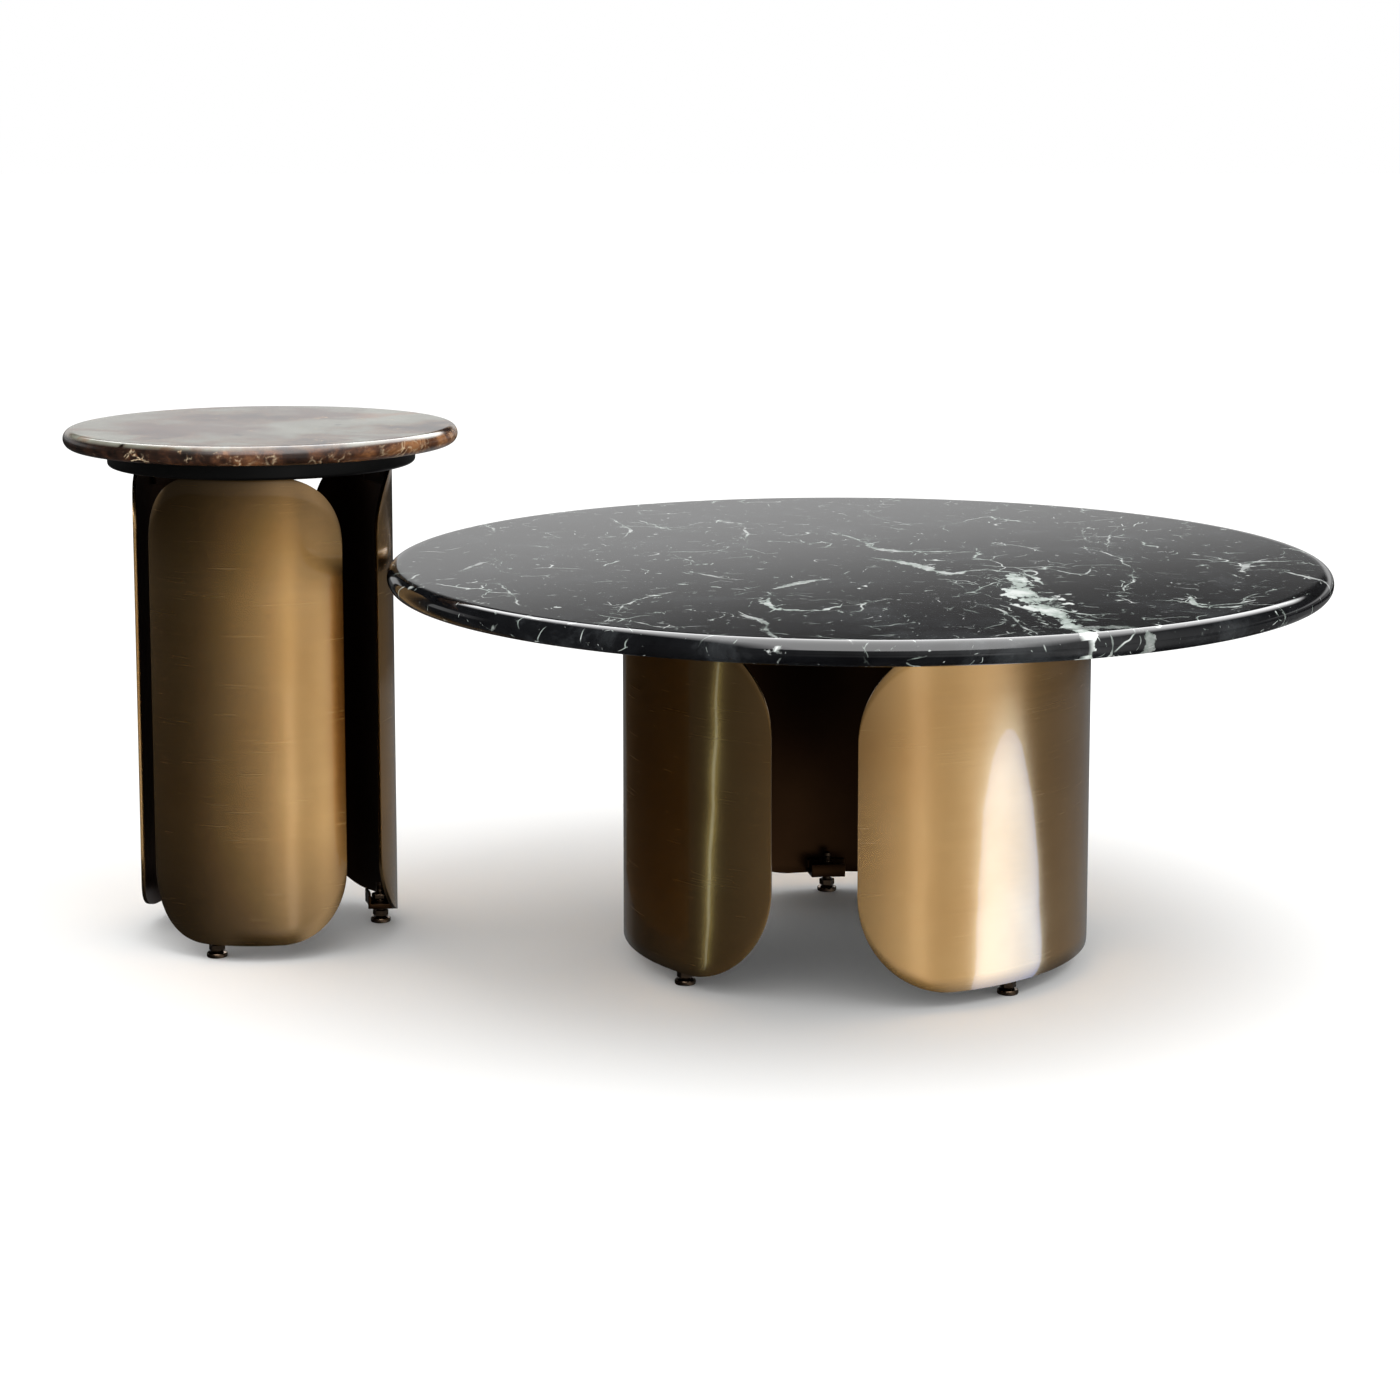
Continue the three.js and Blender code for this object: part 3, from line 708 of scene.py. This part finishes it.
def lay_veins(mesh, veins):
    """Stores (sideways distance, half width, strength) of the nearest vein on each point of the slab."""
    spots = []
    for width, strength, points in veins:
        line = smooth_line(points)
        for k, p in enumerate(line):
            ahead = (line[min(k + 1, len(line) - 1)] - line[max(k - 1, 0)]).normalized()
            taper = math.sin(math.pi * (0.06 + 0.88 * k / (len(line) - 1))) ** 0.6
            spots.append((p, ahead, width / 2000 * taper, strength))
    near = kdtree.KDTree(len(spots))
    for k, spot in enumerate(spots):
        near.insert(spot[0].to_3d(), k)
    near.balance()
    values, sprayed = [], []
    for v in mesh.vertices:
        _, k, gap = near.find((v.co.x, v.co.y, 0.0))
        p, ahead, half_width, strength = spots[k]
        aside = v.co.to_2d() - p
        side = ahead.x * aside.y - ahead.y * aside.x
        past = abs(aside.dot(ahead))
        fade = max(0.0, min(1.0, (VEIN_REACH + half_width - gap) / 0.006)) * (1 if past < 0.004 else 0)
        values += [side, half_width, strength * fade]
        sprayed.append(strength * max(0.0, 1 - gap / (0.012 + 3 * half_width)))
    layer = mesh.attributes.new("vein", "FLOAT_VECTOR", "POINT")
    layer.data.foreach_set("vector", values)
    mesh.attributes.new("spray", "FLOAT", "POINT").data.foreach_set("value", sprayed)


# Polished black marble: calcite cracks and clouds in a near-black ground, under a mirror polish. The
# main veins fray over 6 mm (scale 160) and break up over 22 mm (46), drawn out to twice that in depth.
black_marble, tree, shader = surface("polished_black_marble", Roughness=0.07, IOR=1.5)
where = add(tree, "ShaderNodeTexCoord").outputs["Object"]
vein = add(tree, "ShaderNodeSeparateXYZ", {0: add(tree, "ShaderNodeAttribute", attribute_name="vein")
           .outputs["Vector"]})
drawn_out = add(tree, "ShaderNodeMapping", {0: where, "Scale": (1.0, 0.5, 1.0)})
fray = add(tree, "ShaderNodeTexNoise", {"Vector": drawn_out, "Scale": 160.0, "Detail": 4.0, "Roughness": 0.6})
blot = add(tree, "ShaderNodeTexNoise", {"Vector": drawn_out, "Scale": 46.0, "Detail": 5.0, "Roughness": 0.62})
shift = add(tree, "ShaderNodeMapRange", {"Value": fray.outputs[0], "To Min": -0.0016, "To Max": 0.0016})
aside = add(tree, "ShaderNodeMath", {0: vein.outputs["X"], 1: shift}, operation="ADD")
aside = add(tree, "ShaderNodeMath", {0: aside}, operation="ABSOLUTE")
reach = add(tree, "ShaderNodeMapRange", {"Value": blot.outputs[0], "From Min": 0.34, "From Max": 0.66,
                                         "To Min": 0.0, "To Max": 1.5})
reach = add(tree, "ShaderNodeMath", {0: reach, 1: vein.outputs["Y"]}, operation="MULTIPLY")
inside = add(tree, "ShaderNodeMath", {0: reach, 1: aside}, operation="SUBTRACT")
inside = add(tree, "ShaderNodeMapRange", {"Value": inside, "From Min": -0.0003, "From Max": 0.0012})
drawn = add(tree, "ShaderNodeMath", {0: inside, 1: vein.outputs["Z"]}, operation="MULTIPLY")

drift = add(tree, "ShaderNodeTexNoise", {"Vector": where, "Scale": 5.0, "Detail": 4.0})
drifted = add(tree, "ShaderNodeVectorMath", {0: drift.outputs["Color"], 1: (0.16, 0.16, 0.16), 2: where},
              operation="MULTIPLY_ADD")
spray = add(tree, "ShaderNodeAttribute", attribute_name="spray").outputs["Fac"]
cracks = []
# Healed cracks round blocks of 130, 50 and 20 mm, each kind showing only here and there.
for scale, width, mask_scale, seldom, bright in ((7.5, 0.010, 4.5, 0.55, 1.00),
                                                 (19.0, 0.016, 10.0, 0.56, 0.95),
                                                 (46.0, 0.030, 27.0, 0.615, 0.90)):
    cell = add(tree, "ShaderNodeTexVoronoi", {"Vector": drifted, "Scale": scale},
               feature="DISTANCE_TO_EDGE")
    line = add(tree, "ShaderNodeMapRange", {"Value": cell.outputs["Distance"], "From Min": 0.0,
                                            "From Max": width, "To Min": bright, "To Max": 0.0})
    some = add(tree, "ShaderNodeTexNoise", {"Vector": where, "Scale": mask_scale * 3, "Detail": 3.0})
    some = add(tree, "ShaderNodeMath", {0: spray, 1: 0.14, 2: some}, operation="MULTIPLY_ADD")
    some = add(tree, "ShaderNodeMapRange", {"Value": some, "From Min": seldom, "From Max": seldom + 0.06})
    cracks.append(add(tree, "ShaderNodeMath", {0: line, 1: some}, operation="MULTIPLY"))
# Loose calcite flecks, 17 mm apart (scale 58), and a grey haze over 110 mm (scale 9).
flecks = add(tree, "ShaderNodeTexNoise", {"Vector": add(tree, "ShaderNodeVectorMath", {
    0: drift.outputs["Color"], 1: (0.05, 0.02, 0.0), 2: where}, operation="MULTIPLY_ADD"),
    "Scale": 58.0, "Detail": 3.0})
flecks = add(tree, "ShaderNodeMath", {0: spray, 1: 0.10, 2: flecks}, operation="MULTIPLY_ADD")
flecks = add(tree, "ShaderNodeMapRange", {"Value": flecks, "From Min": 0.725, "From Max": 0.76,
                                          "To Max": 0.85})
white = drawn
for part in cracks + [flecks]:
    white = add(tree, "ShaderNodeMath", {0: white, 1: part}, operation="MAXIMUM")
haze = add(tree, "ShaderNodeTexNoise", {"Vector": drifted, "Scale": 9.0, "Detail": 7.0, "Roughness": 0.68})
ground = add(tree, "ShaderNodeValToRGB", {"Fac": haze}, [
    (0.38, linear("#08080A")), (0.54, linear("#121315")),
    (0.66, linear("#2B2D2F")), (0.76, linear("#474A4B"))])
calcite = add(tree, "ShaderNodeValToRGB", {"Fac": blot}, [
    (0.36, linear("#8C9891")), (0.50, linear("#BAC5BE")), (0.60, linear("#E4E9E6"))])
stone = add(tree, "ShaderNodeMix", {0: white, 6: ground, 7: calcite}, data_type="RGBA")
tree.links.new(stone.outputs[2], shader.inputs["Base Color"])
gloss = add(tree, "ShaderNodeMapRange", {"Value": white, "To Min": 0.06, "To Max": 0.14})
tree.links.new(gloss.outputs[0], shader.inputs["Roughness"])

# Polished brown marble: clouds of brown and grey-green 140 mm across (scale 7), with a red blush over
# 170 mm (scale 6) and dark pits 38 mm apart (scale 26).
brown_marble, tree, shader = surface("polished_brown_marble", Roughness=0.09, IOR=1.5)
where = add(tree, "ShaderNodeTexCoord").outputs["Object"]
drift = add(tree, "ShaderNodeTexNoise", {"Vector": where, "Scale": 9.0, "Detail": 5.0})
drifted = add(tree, "ShaderNodeVectorMath", {0: drift.outputs["Color"], 1: (0.10, 0.10, 0.10), 2: where},
              operation="MULTIPLY_ADD")
cloud = add(tree, "ShaderNodeTexNoise", {"Vector": drifted, "Scale": 7.0, "Detail": 7.0, "Roughness": 0.6})
clouds = add(tree, "ShaderNodeValToRGB", {"Fac": cloud}, [
    (0.36, linear("#2C1A11")), (0.43, linear("#6E5A48")), (0.48, linear("#77766A")),
    (0.60, linear("#8F9084")), (0.70, linear("#8A6248"))])
blush = add(tree, "ShaderNodeTexNoise", {"Vector": drifted, "Scale": 6.0, "Detail": 4.0})
side_x = add(tree, "ShaderNodeSeparateXYZ", {0: where}).outputs["X"]
# Painted light and shade: a gradient along X, from 0 at the slab's -X side to 1 at its +X side, where the
# lamps stand. It holds back the dark red blush, lightens the round edge and lets more cream web show towards
# +X, so the slab is darker on the side away from the lamps.
along = add(tree, "ShaderNodeMapRange", {"Value": side_x, "From Min": -0.66, "From Max": -0.27})
start = add(tree, "ShaderNodeMapRange", {"Value": along, "To Min": 0.44, "To Max": 0.58})
blush = add(tree, "ShaderNodeMapRange", {"Value": blush.outputs[0], "From Min": start, "From Max": 0.66,
                                         "To Max": 0.85})
mixed = add(tree, "ShaderNodeMix", {0: blush, 6: clouds, 7: linear("#4B2A1F")}, data_type="RGBA")
pit = add(tree, "ShaderNodeTexVoronoi", {"Vector": drifted, "Scale": 26.0, "Randomness": 1.0})
pit = add(tree, "ShaderNodeMapRange", {"Value": pit.outputs["Distance"], "From Min": 0.08, "From Max": 0.15,
                                       "To Min": 1.0, "To Max": 0.0})
some = add(tree, "ShaderNodeTexNoise", {"Vector": where, "Scale": 13.0, "Detail": 1.0})
some = add(tree, "ShaderNodeMapRange", {"Value": some.outputs[0], "From Min": 0.54, "From Max": 0.58})
pit = add(tree, "ShaderNodeMath", {0: pit, 1: some}, operation="MULTIPLY")
mixed = add(tree, "ShaderNodeMix", {0: pit, 6: mixed.outputs[2], 7: linear("#0E0906")}, data_type="RGBA")
# The round edge cuts across the bedding: darker copper brown, mottled over 33 mm (scale 30), with a web
# of broken cream shell 10 mm across (scale 95), in patches of 42 mm (24) and grained at 4 mm (240).
edge = add(tree, "ShaderNodeSeparateXYZ", {0: add(tree, "ShaderNodeNewGeometry").outputs["Normal"]})
edge = add(tree, "ShaderNodeMapRange", {"Value": edge.outputs["Z"], "From Min": 0.80, "From Max": 0.50})
tint = add(tree, "ShaderNodeTexNoise", {"Vector": drifted, "Scale": 30.0, "Detail": 6.0,
                                        "Roughness": 0.7})
# Painted light and shade: the edge's tint rises towards +X, so the round edge is lighter on the lit side and
# darker away from the lamps.
tint = add(tree, "ShaderNodeMath", {0: along, 1: 0.22, 2: tint}, operation="MULTIPLY_ADD")
body = add(tree, "ShaderNodeValToRGB", {"Fac": tint}, [
    (0.46, linear("#140B06")), (0.60, linear("#2E1A0F")),
    (0.72, linear("#5A3720")), (0.86, linear("#96663E"))])
mixed = add(tree, "ShaderNodeMix", {0: edge, 6: mixed.outputs[2], 7: body}, data_type="RGBA")
shards = add(tree, "ShaderNodeTexVoronoi", {"Vector": drifted, "Scale": 95.0}, feature="DISTANCE_TO_EDGE")
web = add(tree, "ShaderNodeMapRange", {"Value": shards.outputs["Distance"], "From Min": 0.0,
                                       "From Max": 0.14, "To Min": 1.0, "To Max": 0.0})
# Painted light: more cream web shows on the lit +X side of the round edge.
few = add(tree, "ShaderNodeMath", {0: edge, 1: along}, operation="MULTIPLY")
few = add(tree, "ShaderNodeMapRange", {"Value": few, "To Min": 0.63, "To Max": 0.42})
some = add(tree, "ShaderNodeTexNoise", {"Vector": where, "Scale": 24.0, "Detail": 5.0, "Roughness": 0.7})
some = add(tree, "ShaderNodeMapRange", {"Value": some.outputs[0], "From Min": few, "From Max": 0.66})
web = add(tree, "ShaderNodeMath", {0: web, 1: some}, operation="MULTIPLY")
grains = add(tree, "ShaderNodeTexNoise", {"Vector": drifted, "Scale": 240.0, "Detail": 3.0})
cream = add(tree, "ShaderNodeValToRGB", {"Fac": grains}, [
    (0.42, linear("#8A5A38")), (0.54, linear("#E2CDA8"))])
veined = add(tree, "ShaderNodeMix", {0: web, 6: mixed.outputs[2], 7: cream}, data_type="RGBA")
tree.links.new(veined.outputs[2], shader.inputs["Base Color"])
gloss = add(tree, "ShaderNodeMapRange", {"Value": edge, "To Min": 0.09, "To Max": 0.30})
tree.links.new(gloss.outputs[0], shader.inputs["Roughness"])
tree.links.new(add(tree, "ShaderNodeBump", {"Height": web, "Strength": 0.12, "Distance": 0.0003})
               .outputs[0], shader.inputs["Normal"])

for table, finish, slot, rings, turns in (("coffee", black_marble, "marble_black", 110, 420),
                                          ("side", brown_marble, "marble_brown", 24, 256)):
    low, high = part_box(f"{table}_top")
    radius, bull = (high.x - low.x) / 2, (high.z - low.z) / 2
    inside = [(radius - bull) * (1 - k / rings) for k in range(1, rings)]
    slab = turned(rounded_disc(radius, low.z, high.z, bull, 14, inside), turns)
    if table == "coffee":
        lay_veins(slab, VEINS)
    piece(f"{table}_stone_top", slab, f"{table}_table", [finish], [f"{table}_top"],
          BASE[table]["centre"])
